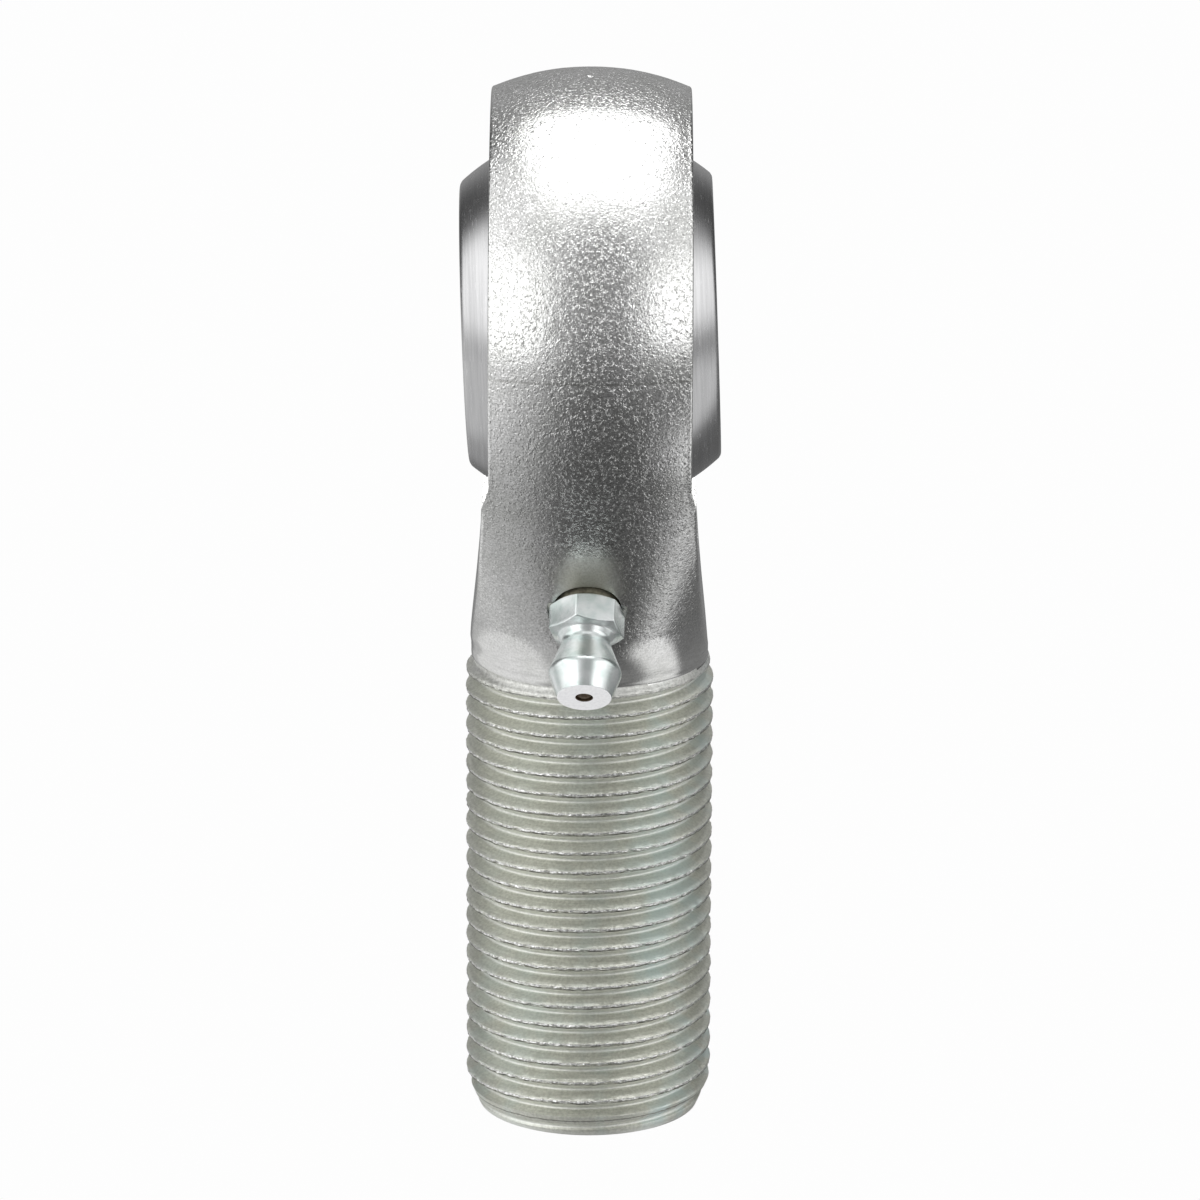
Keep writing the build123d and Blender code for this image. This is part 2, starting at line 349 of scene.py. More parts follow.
def body_shell():
    sh = Shell()
    strip = strip_rows()
    # rims
    Tall = np.vstack([T_h, T_n])
    Call = np.vstack([C_h, C_n])
    Sall = np.vstack([S_h, S_n])
    rim = bez(Tall, Call, Sall, 6)
    # faced annulus: the outer edge follows the rim, then the facing arc
    arc_al = AL1 + (PI - AL1) * (np.linspace(0, 1, KN + 1))
    lower = q3(np.full_like(arc_al, HALF_W), FACING_R * np.sin(arc_al), FACING_R * np.cos(arc_al))
    lower[-1, 1] = 0.0
    ring_al = np.concatenate([al, arc_al])
    outer = np.vstack([S_h, lower])
    ch_o = q3(np.full_like(ring_al, HALF_W), (RACE_R + STAKE) * np.sin(ring_al), (RACE_R + STAKE) * np.cos(ring_al))
    cols = [outer * (1 - t) + ch_o * t for t in (0, 0.33, 0.66)]
    lip = [(HALF_W, RACE_R + STAKE), (HALF_W - 0.06, RACE_R + STAKE - 0.08), (HALF_W - STAKE, RACE_R),
           (5.0, RACE_R), (2.5, RACE_R), (0.0, RACE_R)]
    for x, r in lip:
        c = q3(np.full_like(ring_al, x), r * np.sin(ring_al), r * np.cos(ring_al))
        c[-1, 1] = 0.0
        cols.append(c)
    for c in cols:
        c[0, 1] = 0.0
        c[-1, 1] = 0.0
    ann = np.stack(cols, 1)
    # step wall of the facing cut
    top = q3(side(lower[:, 2]), lower[:, 1], lower[:, 2])
    top[0] = C_n[0]
    wall = np.stack([np.vstack([S_h[-1:], lower]), np.vstack([S_h[-1:], top])], 1)
    # neck side
    t = np.linspace(0, 1, MS + 1)[None, :, None]
    patch = top[:, None] * (1 - t) + S_n[:, None] * t
    inner = patch[1:-1, 1:-1]
    inner[..., 0] = side(inner[..., 2])
    patch[-1, 1:-1, 0] = side(patch[-1, 1:-1, 2])
    patch[-1, :, 1] = 0.0
    for sy in (-1, 1):
        m = np.array([1, sy, 1.0])
        sh.grid(strip * m)
        for sx in (1, -1):
            k = np.array([sx, sy, 1.0])
            for g in (rim, ann, wall, patch):
                sh.grid(g * k)
    # thread: the rows follow the helix
    us = [-0.10, -0.07, -0.045, -0.02, 0.005, 0.03, 0.062, 0.085, 0.105, 0.17, 0.27, 0.36, 0.41, 0.455,
          0.50, 0.545, 0.59, 0.64, 0.73, 0.83]
    turns = int((30.2 + abs(END_Z)) / PITCH) + 5
    th = 2 * PI * np.arange(COLS + 1) / COLS

    def ripple(width, seed):
        r = np.random.RandomState(seed).rand((turns + 3) * COLS)
        k = np.hanning(width + 2)[1:-1]
        r = np.convolve(r, k / k.sum(), "same")
        return (r - r.mean()) / r.std()

    fine, mid, wide, wander, groove = (ripple(w, sd) for w, sd in ((2, 11), (5, 12), (31, 16), (7, 14), (4, 13)))
    z_top = VALLEY_Z + 3 * PITCH
    ring_z, end_z = -30.2, END_Z
    rows = [q3(SHANK_R * np.cos(th), SHANK_R * np.sin(th), np.full(COLS + 1, ring_z))]
    for n in range(turns):
        # the noise runs on without a break from one turn to the next
        m = turns + 1 - n
        cut = slice(m * COLS, (m + 1) * COLS + 1)
        f, g, wd, wn, gr = fine[cut], mid[cut], wide[cut], wander[cut], groove[cut]
        for j, u0 in enumerate(us):
            uu = u0 if u0 <= 0.5 else u0 - 1
            z = z_top - (n + u0) * PITCH + PITCH * np.arange(COLS + 1) / COLS
            if z.min() >= ring_z or z.max() <= end_z:
                continue
            d = abs(uu) * PITCH
            # the flanks run at 30 degrees to the root, which is rounded
            r = float(smax(CREST_R - 0.02 - (d - 0.16) * 1.732, ROOT_R + 0.015, 0.22))
            r = np.full(COLS + 1, min(r, CREST_R - 0.035))
            if abs(uu) < 0.11:
                lip = math.exp(-((uu + 0.02) / 0.04) ** 2)
                seam = math.exp(-((uu - 0.062) / 0.022) ** 2)
                r = r + (0.022 * f + 0.020 * g + 0.010 * wd - 0.004) * lip - seam * (0.085 + 0.04 * gr)
                k = m * COLS - 37 - 11 * j
                r = r + 0.014 * fine[k:k + COLS + 1]
                z = z + np.clip(0.045 * wn + 0.014 * f, -0.18, 0.18) * math.cos(uu / 0.17 * PI / 2)
            r = np.minimum(r, CREST_R)
            w = ease(-z, 30.4, 32.4)
            r = SHANK_R * (1 - w) + r * w
            cone = END_R + (z - END_Z) * (CREST_R + 0.05 - END_R) / CHAMFER
            r = smin(r, cone, 0.06)
            z = np.clip(z, end_z, ring_z)
            r = np.where(z >= ring_z - 1e-9, SHANK_R, r)
            r = np.where(z <= end_z + 1e-9, END_R, r)
            rows.append(q3(r * np.cos(th), r * np.sin(th), z))
    rows.append(q3(END_R * np.cos(th), END_R * np.sin(th), np.full(COLS + 1, end_z)))
    sh.grid(np.array(rows))
    # end face with a slightly dished centre
    fr = [END_R, END_R - 0.5, 8.0, 6.0, 4.0, 2.2, 1.6, 0.8, 0.0]
    fz = [0, 0, 0, 0, 0, 0, 0.35, 0.8, 0.95]
    cap = np.array([q3(r * np.cos(th), r * np.sin(th), np.full_like(th, END_Z + h)) for r, h in zip(fr, fz)])
    sh.grid(cap)
    return sh.mesh("rod_forging", 32.0)


def hash3(i, j, k, seed):
    h = (i * 374761393 + j * 668265263 + k * 2147483647 + seed * 1274126177) & 0xFFFFFFFF
    h = ((h ^ (h >> 13)) * 1274126177) & 0xFFFFFFFF
    return ((h ^ (h >> 16)) & 0xFFFF) / 65535.0


def lumps(p, size, seed):
    """Smooth seeded value noise, -1 to 1, for points p in mm."""
    q = p / size + 100.0
    i = np.floor(q).astype(np.int64)
    f = q - i
    f = f * f * (3 - 2 * f)
    out = 0.0
    for dx in (0, 1):
        for dy in (0, 1):
            for dz in (0, 1):
                w = (f[:, 0] if dx else 1 - f[:, 0]) * (f[:, 1] if dy else 1 - f[:, 1]) * (f[:, 2] if dz else 1 - f[:, 2])
                out = out + w * hash3(i[:, 0] + dx, i[:, 1] + dy, i[:, 2] + dz, seed)
    return out * 2 - 1


def coords(me):
    co = np.zeros(len(me.vertices) * 3)
    me.vertices.foreach_get("co", co)
    return co.reshape(-1, 3) / MM


def weather(ob):
    """Blasted forging: dimples, slow waviness, a die line round the middle and a punch mark on the crown."""
    me = ob.data
    p = coords(me)
    nr = np.zeros(len(me.vertices) * 3)
    me.vertices.foreach_get("normal", nr)
    nr = nr.reshape(-1, 3)
    x, y, z = p.T
    t = ease(-z, 10.5, 14.0)
    sw = side(z)
    forged = (1 - ease(np.abs(x), 8.35, 8.78)) * (1 - t) + (1 - ease(np.abs(x), sw - 0.5, sw - 0.08)) * t
    forged = forged * (1 - 0.8 * ease(-z, 25.0, 28.5)) * (1 - ease(-z, 30.0, 30.2))
    front = np.abs(y) > 1.0
    deep = (0.5 + 0.5 * lumps(p, 0.30, 3)) * 0.012 + (0.5 + 0.5 * lumps(p, 0.55, 4)) * 0.008
    deep += (0.5 + 0.5 * lumps(p, 4.5, 5)) * 0.03
    line = np.exp(-((z + 0.05 * lumps(p, 2.5, 6)) / 0.085) ** 2) * 0.03 * front * (z > -1) * (z < 1)
    pr = np.hypot(x + 0.15, y + 1.3)
    punch = np.where(z > 15, np.exp(-(pr / 0.30) ** 2) * 0.2, 0.0)
    mid = np.exp(-(x / 0.14) ** 2) * 0.012 * (0.5 + 0.5 * lumps(p, 2.0, 8)) * (z > 8)
    d = (deep * forged + (line + mid) * (np.abs(x) < 8.6) + punch)
    # the two dies don't meet quite square, so the neck is a little fuller on one side
    rx = np.hypot(y, z)
    shift = (ease(-z, 9.5, 12.0) * (1 - ease(-z, 28.5, 30.1)) * ease(-x, 3.0, 9.0)
             * ((np.abs(x) > 8.86) | (rx > FACING_R + 0.02)))
    p = p - np.stack([0.2 * shift, 0 * shift, 0 * shift], 1)
    q = (p - nr * d[:, None]) * MM
    me.vertices.foreach_set("co", q.reshape(-1))
    me.update()


def seat_cutter():
    """Spotface, tapped hole and grease passage of the nipple seat."""
    out = [(9.0, 0.0), (9.0, 3.55), (0.35, 3.55), (0.3, 3.50), (0.3, 3.0), (-5.0, 3.0),
           (-5.6, 1.5), (-9.2, 1.5), (-9.2, 0.0)]
    return lathe("seat_cut", out, 96, along_nipple(), closed=False)


rod = body_shell()
weather(rod)
boolean(rod, seat_cutter(), "DIFFERENCE")
tidy(rod.data, 34.0)


# ------------------------------------------------------------------ turned pieces
def soften(pts, r, n=4, closed=True):
    """Rounds the corners of an outline; r may be one size or a list."""
    pts = [np.array(p, float) for p in pts]
    m = len(pts)
    rr = r if isinstance(r, (list, tuple)) else [r] * m
    out = []
    for i, p in enumerate(pts):
        if not closed and i in (0, m - 1) or rr[i] <= 0:
            out.append(tuple(p))
            continue
        a, b = pts[(i - 1) % m], pts[(i + 1) % m]
        la, lb = np.linalg.norm(a - p), np.linalg.norm(b - p)
        k = min(rr[i], la * 0.42, lb * 0.42)
        ua, ub = (a - p) / la, (b - p) / lb
        out.append(tuple(p + ua * k * 1.25))
        for t in np.linspace(0, 1, n + 1):
            out.append(tuple((p + ua * k) * (1 - t) ** 2 + 2 * p * t * (1 - t) + (p + ub * k) * t * t))
        out.append(tuple(p + ub * k * 1.25))
    return out


def sphere_pts(r, x0, x1, n):
    a0, a1 = math.acos(x0 / r), math.acos(x1 / r)
    return [(r * math.cos(a), r * math.sin(a)) for a in np.linspace(a0, a1, n)]


BR, BH, BORE = 16.67, 11.1125, 9.525
edge_r = math.sqrt(BR ** 2 - (BH - 0.2) ** 2)
ball_out = sphere_pts(BR, -(BH - 0.2), BH - 0.2, 121)
flat_r = math.sqrt(BR ** 2 - BH ** 2) - 0.15
right = soften([(BH - 0.2, edge_r), (BH, flat_r), (BH, BORE + 0.4), (BH - 0.4, BORE), (BH - 2.0, BORE)],
               [0, 0.16, 0.1, 0.1, 0], closed=False)
left = [(-a, b) for a, b in reversed(right)]
ball_pts = ball_out[1:-1] + right + [(4.0, BORE), (0.0, BORE), (-4.0, BORE)] + left
ball = lathe("swivel_ball", ball_pts, 288, along_x(TILT), 30.0)


def race_pts(sgn):
    ri = BR + 0.09
    xs = 8.6
    corner = [(xs, 17.9), (8.0, 18.45), (8.7, 19.25), (8.7, 19.65), (8.1, 19.05), (0.6, 19.05)]
    arc_pts = sphere_pts(ri, 0.6, xs, 61)
    pts = arc_pts[:-1] + soften([arc_pts[-1]] + corner + [arc_pts[0]], [0.0, 0.25, 0.35, 0.16, 0.05, 0.05, 0.03, 0.0],
                                closed=False)[:-1]
    return [(sgn * a, b) for a, b in pts]


race_l = lathe("race_left", race_pts(-1), 256, along_x(), 32.0)
race_r = lathe("race_right", race_pts(1), 256, along_x(), 32.0)


def nipple_mesh():
    af = 5.95 / 2
    # angle samples crowd towards the six corners
    base = np.concatenate([np.linspace(-30, -25, 7), np.linspace(-25, 25, 21)[1:-1], np.linspace(25, 30, 7)])[:-1]
    th = np.radians(np.concatenate([base + 60 * k for k in range(6)] + [[base[0] + 360]]))
    fold = (np.degrees(th) + 30.0) % 60 - 30
    rh = af / np.cos(np.radians(fold))
    rh = smin(rh, np.full_like(rh, af / math.cos(math.radians(30)) - 0.03), 0.06)
    turn = math.radians(45.0 - 30.0)
    sh = Shell()
    place = along_nipple()

    def ring(r, s):
        r = np.broadcast_to(r, th.shape)
        s = np.broadcast_to(s, th.shape)
        return q3(r * np.cos(th + turn), r * np.sin(th + turn), s)

    def cone(r):
        return 3.18 - (r - 2.6) * 0.45

    def heel(r):
        return 0.42 + np.maximum((r - 2.8) * 0.5, 0.0)
    rows = [ring(2.65, -5.0), ring(2.98, -4.65)]
    for i in range(6):                       # the fitting's own thread, inside the seat
        s = -4.4 + i * 0.6
        rows += [ring(2.96, s), ring(2.72, s + 0.3)]
    rows += [ring(2.98, -0.45), ring(2.98, -0.38), ring(2.95, -0.35), ring(2.74, -0.35), ring(2.69, -0.32),
             ring(2.68, -0.25), ring(2.68, 0.0), ring(2.68, 0.2), ring(2.68, 0.34), ring(2.69, 0.40),
             ring(2.72, 0.42)]
    for t in (0.0, 0.1, 0.4, 0.7, 0.9):
        r = 2.82 * (1 - t) + rh * t
        rows.append(ring(r, heel(r)))
    rows.append(ring(rh - 0.005, heel(rh) + 0.02))
    rows.append(ring(rh, heel(rh) + 0.06))
    lo, top = heel(rh) + 0.1, cone(rh)
    for t in (0.0, 0.15, 0.35, 0.6, 0.8, 0.95):
        rows.append(ring(rh, lo + (top - 0.1 - lo) * t))
    rows.append(ring(rh, top - 0.05))
    rows.append(ring(rh - 0.008, top - 0.015))
    rows.append(ring(rh - 0.04, cone(rh - 0.04)))
    for t in (0.12, 0.3, 0.55, 0.8, 1.0):
        r = (rh - 0.04) * (1 - t) + 2.66 * t
        rows.append(ring(r, cone(r)))
    prof = soften([(2.66, 3.16), (2.5, 3.24), (2.2, 3.78), (2.2, 4.2), (2.97, 6.2), (3.24, 6.88),
                   (2.36, 9.25), (0.82, 9.25), (0.74, 9.17), (0.74, 8.95)],
                  [0, 0.12, 0.4, 0.5, 0.16, 0.42, 0.09, 0.05, 0.05, 0], 7, closed=False)
    for r, s in prof[1:]:
        rows.append(ring(r, s))
    for r, s in [(0.745, 8.93), (1.3, 8.4), (1.3, 5.5), (1.3, 2.4), (0.7, 2.4), (0.7, -1.0), (0.7, -5.0), (2.65, -5.0)]:
        rows.append(ring(r, s))
    rows = np.array(rows)
    rows[-1] = rows[0]
    sh.grid(place(rows))
    return sh.mesh("grease_nipple", 33.0)


nipple = nipple_mesh()
seat_s = 8.95 - math.sqrt(1.2 ** 2 - 0.77 ** 2) - 0.05
ball_prof = [(1.2 * math.cos(a), 1.2 * math.sin(a)) for a in np.linspace(PI, 0, 33)]
ball_prof[0] = (-1.2, 0.0)
ball_prof[-1] = (1.2, 0.0)
nip_place = along_nipple()
check = lathe("nipple_check_ball", ball_prof, 48,
              lambda p: nip_place(p + np.array([0, 0, seat_s])), 80.0, closed=False)


# ------------------------------------------------------------------ materials
class Graph:
    """A small node-graph writer."""

    def __init__(self, tree):
        self.t = tree
        self.t.nodes.clear()
        self.tc = self.t.nodes.new("ShaderNodeTexCoord")

    def put(self, sock, v):
        if isinstance(v, bpy.types.NodeSocket):
            self.t.links.new(v, sock)
        elif isinstance(v, (tuple, list)) and len(v) == 3 and sock.type == "RGBA":
            sock.default_value = (*v, 1)
        else:
            sock.default_value = v

    def set(self, **kw):
        for k, v in kw.items():
            self.put(self.b.inputs[k.replace("_", " ")], v)

    def math(self, op, a, b=None, c=None, clamp=False):
        n = self.t.nodes.new("ShaderNodeMath")
        n.operation = op
        n.use_clamp = clamp
        for i, v in enumerate((a, b, c)):
            if v is not None:
                self.put(n.inputs[i], v)
        return n.outputs[0]

    def mapped(self, v, scale=(1, 1, 1), rot=(0, 0, 0), loc=(0, 0, 0)):
        n = self.t.nodes.new("ShaderNodeMapping")
        self.put(n.inputs["Vector"], v)
        n.inputs["Scale"].default_value = scale
        n.inputs["Rotation"].default_value = rot
        n.inputs["Location"].default_value = loc
        return n.outputs[0]

    def noise(self, v, scale, detail=2.0, rough=0.5, dist=0.0):
        n = self.t.nodes.new("ShaderNodeTexNoise")
        self.put(n.inputs["Vector"], v)
        n.inputs["Scale"].default_value = scale
        n.inputs["Detail"].default_value = detail
        n.inputs["Roughness"].default_value = rough
        n.inputs["Distortion"].default_value = dist
        return n.outputs[0]

    def cells(self, v, scale, feature="F1"):
        n = self.t.nodes.new("ShaderNodeTexVoronoi")
        n.feature = feature
        self.put(n.inputs["Vector"], v)
        n.inputs["Scale"].default_value = scale
        return n.outputs["Distance"]

    def ramp(self, v, stops, smooth=False):
        n = self.t.nodes.new("ShaderNodeValToRGB")
        self.put(n.inputs[0], v)
        e = n.color_ramp.elements
        while len(e) < len(stops):
            e.new(0.5)
        for el, (pos, col) in zip(e, stops):
            el.position = pos
            el.color = (col, col, col, 1) if isinstance(col, (int, float)) else (*col, 1)
        if smooth:
            n.color_ramp.interpolation = "EASE"
        return n.outputs[0]

    def mix(self, f, a, b, kind="MIX"):
        n = self.t.nodes.new("ShaderNodeMix")
        n.data_type = "RGBA"
        n.blend_type = kind
        self.put(n.inputs[0], f)
        self.put(n.inputs[6], a)
        self.put(n.inputs[7], b)
        return n.outputs[2]

    def lerp(self, f, a, b):
        n = self.t.nodes.new("ShaderNodeMix")
        n.data_type = "FLOAT"
        self.put(n.inputs[0], f)
        self.put(n.inputs[2], a)
        self.put(n.inputs[3], b)
        return n.outputs[0]

    def span(self, v, a, b, lo=0.0, hi=1.0, smooth=True):
        n = self.t.nodes.new("ShaderNodeMapRange")
        n.interpolation_type = "SMOOTHSTEP" if smooth else "LINEAR"
        self.put(n.inputs[0], v)
        for i, q in zip((1, 2, 3, 4), (a, b, lo, hi)):
            n.inputs[i].default_value = q
        return n.outputs[0]

    def bump(self, h, dist, strength=1.0, under=None):
        n = self.t.nodes.new("ShaderNodeBump")
        n.inputs["Strength"].default_value = strength
        n.inputs["Distance"].default_value = dist
        self.put(n.inputs["Height"], h)
        if under is not None:
            self.put(n.inputs["Normal"], under)
        return n.outputs[0]

    def xyz(self, v):
        n = self.t.nodes.new("ShaderNodeSeparateXYZ")
        self.put(n.inputs[0], v)
        return n.outputs

    def join(self, x, y, z):
        n = self.t.nodes.new("ShaderNodeCombineXYZ")
        for i, v in enumerate((x, y, z)):
            self.put(n.inputs[i], v)
        return n.outputs[0]


class Mat(Graph):
    def __init__(self, name):
        self.m = bpy.data.materials.new(name)
        self.m.use_nodes = True
        super().__init__(self.m.node_tree)
        self.out = self.t.nodes.new("ShaderNodeOutputMaterial")
        self.b = self.t.nodes.new("ShaderNodeBsdfPrincipled")
        self.t.links.new(self.b.outputs[0], self.out.inputs[0])
        self.obj = self.tc.outputs["Object"]


def polar(m, x, y, axial):
    """(radius, angle, axial) of a point about an axis, for lathe marks."""
    r = m.math("SQRT", m.math("ADD", m.math("MULTIPLY", x, x), m.math("MULTIPLY", y, y)))
    a = m.math("ARCTAN2", y, x)
    return r, a, axial


def forged_zinc():
    m = Mat("blasted_zinc_forging")
    x, y, z = m.xyz(m.obj)
    r, a, _ = polar(m, x, y, z)
    grain = m.noise(m.obj, 5200, 3.0, 0.7)
    flecks = m.noise(m.obj, 3100, 2.0, 0.6, 0.4)
    crater = m.ramp(m.cells(m.obj, 3000), [(0.05, 0.0), (0.42, 1.0)])
    coarse = m.noise(m.obj, 900, 2.0, 0.6)
    cloud = m.noise(m.obj, 170, 3.0, 0.6)
    streak = m.noise(m.join(m.math("MULTIPLY", a, 9.0), m.math("MULTIPLY", r, 300.0), m.math("MULTIPLY", z, 5200.0)),
                     1.0, 3.0, 0.6)
    low = m.span(z, -0.0295, -0.0255, 1.0, 0.0)
    dents = m.ramp(flecks, [(0.30, 0.0), (0.44, 1.0)])
    pips = m.ramp(m.noise(m.obj, 3600, 1.0, 0.5), [(0.58, 0.0), (0.72, 1.0)])
    h = m.math("ADD", m.math("MULTIPLY", grain, 0.45), m.math("MULTIPLY_ADD", dents, 0.75, m.math("MULTIPLY", crater, 0.22)))
    h = m.math("ADD", h, m.math("MULTIPLY", pips, 0.55))
    h = m.lerp(low, h, m.math("ADD", m.math("MULTIPLY", grain, 0.45), m.math("MULTIPLY", streak, 0.5)))
    calm = m.span(z, -0.0225, -0.0050, 0.38, 1.0)
    n = m.bump(m.math("MULTIPLY", h, calm), 0.000035, 1.0)
    col = m.ramp(grain, [(0.34, (0.60, 0.60, 0.595)), (0.5, (0.80, 0.80, 0.795)), (0.64, (0.98, 0.98, 0.98))])
    col = m.mix(m.math("MULTIPLY", calm, m.math("MULTIPLY_ADD", dents, -0.26, 0.26)), col, (0.36, 0.36, 0.35))
    col = m.mix(m.math("MULTIPLY", low, 0.7), col, m.ramp(streak, [(0.3, (0.66, 0.66, 0.65)), (0.7, (0.84, 0.84, 0.83))]))
    tint = m.ramp(cloud, [(0.35, (0.88, 0.885, 0.87)), (0.65, (1.0, 1.0, 1.0))])
    col = m.mix(1.0, col, tint, "MULTIPLY")
    die = m.math("MULTIPLY", m.span(m.math("ABSOLUTE", z), 0.00006, 0.00018, 1.0, 0.0),
                 m.ramp(m.noise(m.obj, 500, 1.0), [(0.4, 0.15), (0.6, 0.6)]))
    col = m.mix(die, col, (0.40, 0.40, 0.38))
    # painted shade: a darker, drab olive colour on the front of the neck round the fitting, where the fitting shades it
    away = m.math("ADD", m.math("ABSOLUTE", m.math("ADD", x, 0.0002)), m.math("MULTIPLY_ADD", cloud, 0.0016, -0.0008))
    fitting_shade = m.math("MULTIPLY", m.span(away, 0.0012, 0.0042, 1.0, 0.0), m.span(z, -0.0150, -0.0200, 0.0, 1.0))
    fitting_shade = m.math("MULTIPLY", fitting_shade, m.span(z, -0.0230, -0.0208, 0.0, 1.0))
    fitting_shade = m.math("MULTIPLY", fitting_shade, m.span(y, 0.0, -0.006, 0.0, 1.0))
    col = m.mix(m.math("MULTIPLY", fitting_shade, 0.7), col, (0.50, 0.49, 0.40))
    rg = m.math("ADD", m.math("MULTIPLY", coarse, 0.12), 0.08)
    rg = m.lerp(fitting_shade, rg, 0.5)
    m.set(Base_Color=col, Metallic=1.0, Roughness=rg, Normal=n)
    return m.m


def thread_zinc():
    m = Mat("zinc_thread")
    x, y, z = m.xyz(m.obj)
    r, a, _ = polar(m, x, y, z)
    crest = m.span(r, 0.01098, 0.01107)
    root = m.span(r, 0.01014, 0.01003)
    grain = m.noise(m.obj, 3600, 3.0, 0.65)
    drawn = m.noise(m.join(m.math("MULTIPLY", a, 3.0), m.math("MULTIPLY", r, 4500.0), m.math("MULTIPLY", z, 900.0)), 1.0, 3.0, 0.6)
    patch = m.noise(m.mapped(m.obj, (1, 1, 0.45)), 240, 2.0, 0.55)
    turn = m.math("MULTIPLY_ADD", a, PITCH * MM / (2 * PI), VALLEY_Z * MM)
    u = m.math("FRACT", m.math("DIVIDE", m.math("SUBTRACT", turn, z), PITCH * MM))
    u = m.math("ADD", u, m.math("MULTIPLY_ADD", m.noise(m.obj, 1900, 3.0, 0.7), 0.16, -0.08))
    # painted shade: a dark band just under each crest, where the crest seam and the steep lower flank fall in shade
    under = m.math("MULTIPLY", m.span(u, 0.05, 0.078), m.span(u, 0.14, 0.11, 0, 1))
    top_of = m.math("MAXIMUM", m.span(u, 0.055, 0.035, 0, 1), m.span(u, 0.925, 0.95))
    flank = m.ramp(drawn, [(0.3, (0.63, 0.64, 0.575)), (0.7, (0.80, 0.81, 0.74))])
    flank = m.mix(1.0, flank, m.ramp(grain, [(0.38, (0.80, 0.80, 0.79)), (0.62, (1.0, 1.0, 1.0))]), "MULTIPLY")
    teal = m.ramp(patch, [(0.48, 0.0), (0.66, 1.0)])
    side_w = m.math("ADD", m.span(x, -0.004, 0.009, 0.10, 0.65), m.span(z, -0.045, -0.07, 0.0, 0.25))
    flank = m.mix(m.math("MULTIPLY", teal, side_w), flank, (0.60, 0.69, 0.67))
    specks = m.ramp(m.noise(m.obj, 4600, 2.0, 0.6), [(0.40, 0.15), (0.56, 1.0)])
    crest = m.math("MULTIPLY", crest, top_of)
    col = m.mix(crest, flank, (0.40, 0.40, 0.38))
    col = m.mix(m.math("MULTIPLY", crest, specks), col, (0.96, 0.96, 0.95))
    # painted shade under the crests
    col = m.mix(m.math("MULTIPLY", under, 0.9), col, (0.22, 0.22, 0.19))
    start = m.span(m.math("MULTIPLY_ADD", m.noise(m.obj, 420, 2.0, 0.6), 0.0016, z), -0.0320, -0.0304)
    col = m.mix(m.math("MULTIPLY", start, 0.7), col, m.ramp(grain, [(0.34, (0.46, 0.46, 0.45)), (0.64, (0.74, 0.74, 0.73))]))
    # painted highlight: a lighter line along the rounded thread root, where it catches the light
    col = m.mix(m.math("MULTIPLY", root, 0.35), col, (0.86, 0.87, 0.85))
    rg = m.lerp(crest, m.math("ADD", m.math("MULTIPLY", patch, 0.12), 0.40), 0.3)
    h = m.math("ADD", m.math("MULTIPLY", grain, m.lerp(crest, 1.1, 3.6)), m.math("MULTIPLY", drawn, 0.35))
    m.set(Base_Color=col, Metallic=m.lerp(crest, 0.82, 1.0), Roughness=rg, Normal=m.bump(h, 0.00003, 0.9))
    return m.m


def faced_zinc():
    """Faces cut on the lathe about X, plated afterwards."""
    m = Mat("faced_zinc")
    x, y, z = m.xyz(m.obj)
    r, a, _ = polar(m, y, z, x)
    rings = m.noise(m.join(m.math("MULTIPLY", r, 9000.0), m.math("MULTIPLY", a, 0.7), m.math("MULTIPLY", x, 9000.0)), 1.0, 3.0, 0.7)
    cloud = m.noise(m.obj, 260, 3.0, 0.6)
    col = m.ramp(rings, [(0.3, (0.60, 0.61, 0.60)), (0.7, (0.78, 0.79, 0.78))])
    col = m.mix(m.ramp(cloud, [(0.4, 0.0), (0.7, 0.5)]), col, (0.58, 0.60, 0.57))
    m.set(Base_Color=col, Metallic=1.0, Roughness=m.math("ADD", m.math("MULTIPLY", cloud, 0.15), 0.2),
          Normal=m.bump(rings, 0.000016, 0.8))
    return m.m


def ball_steel():
    m = Mat("ground_ball_steel")
    x, y, z = m.xyz(m.mapped(m.obj, rot=(0, TILT, 0)))
    r, a, _ = polar(m, y, z, x)
    lay = m.noise(m.join(m.math("MULTIPLY", x, 6000.0), m.math("MULTIPLY", a, 2.0), m.math("MULTIPLY", r, 2500.0)), 1.0, 3.0, 0.6)
    scr = m.noise(m.mapped(m.obj, (9000, 900, 700), (0.5, 0.3, 0.9)), 1.0, 2.0, 0.5)
    fine = m.ramp(scr, [(0.64, 0.0), (0.72, 1.0)])
    cloud = m.noise(m.obj, 190, 2.0, 0.5)
    col = m.ramp(lay, [(0.3, (0.47, 0.47, 0.475)), (0.7, (0.57, 0.57, 0.575))])
    col = m.mix(m.math("MULTIPLY", fine, 0.4), col, (0.85, 0.85, 0.86))
    rg = m.math("ADD", m.math("MULTIPLY", cloud, 0.10), m.math("MULTIPLY_ADD", fine, 0.1, 0.20))
    h = m.math("ADD", m.math("MULTIPLY", lay, 0.5), m.math("MULTIPLY", fine, 0.4))
    m.set(Base_Color=col, Metallic=1.0, Roughness=rg, Normal=m.bump(h, 0.000003, 0.7))
    return m.m


def race_steel():
    m = Mat("turned_race_steel")
    x, y, z = m.xyz(m.obj)
    r, a, _ = polar(m, y, z, x)
    rings = m.noise(m.join(m.math("MULTIPLY", r, 8000.0), m.math("MULTIPLY", a, 0.9), m.math("MULTIPLY", x, 6000.0)), 1.0, 3.0, 0.7)
    cloud = m.noise(m.obj, 330, 2.0, 0.5)
    col = m.ramp(rings, [(0.3, (0.46, 0.45, 0.43)), (0.7, (0.62, 0.61, 0.59))])
    m.set(Base_Color=col, Metallic=1.0, Roughness=m.math("ADD", m.math("MULTIPLY", cloud, 0.16), 0.2),
          Normal=m.bump(rings, 0.000014, 0.8))
    return m.m


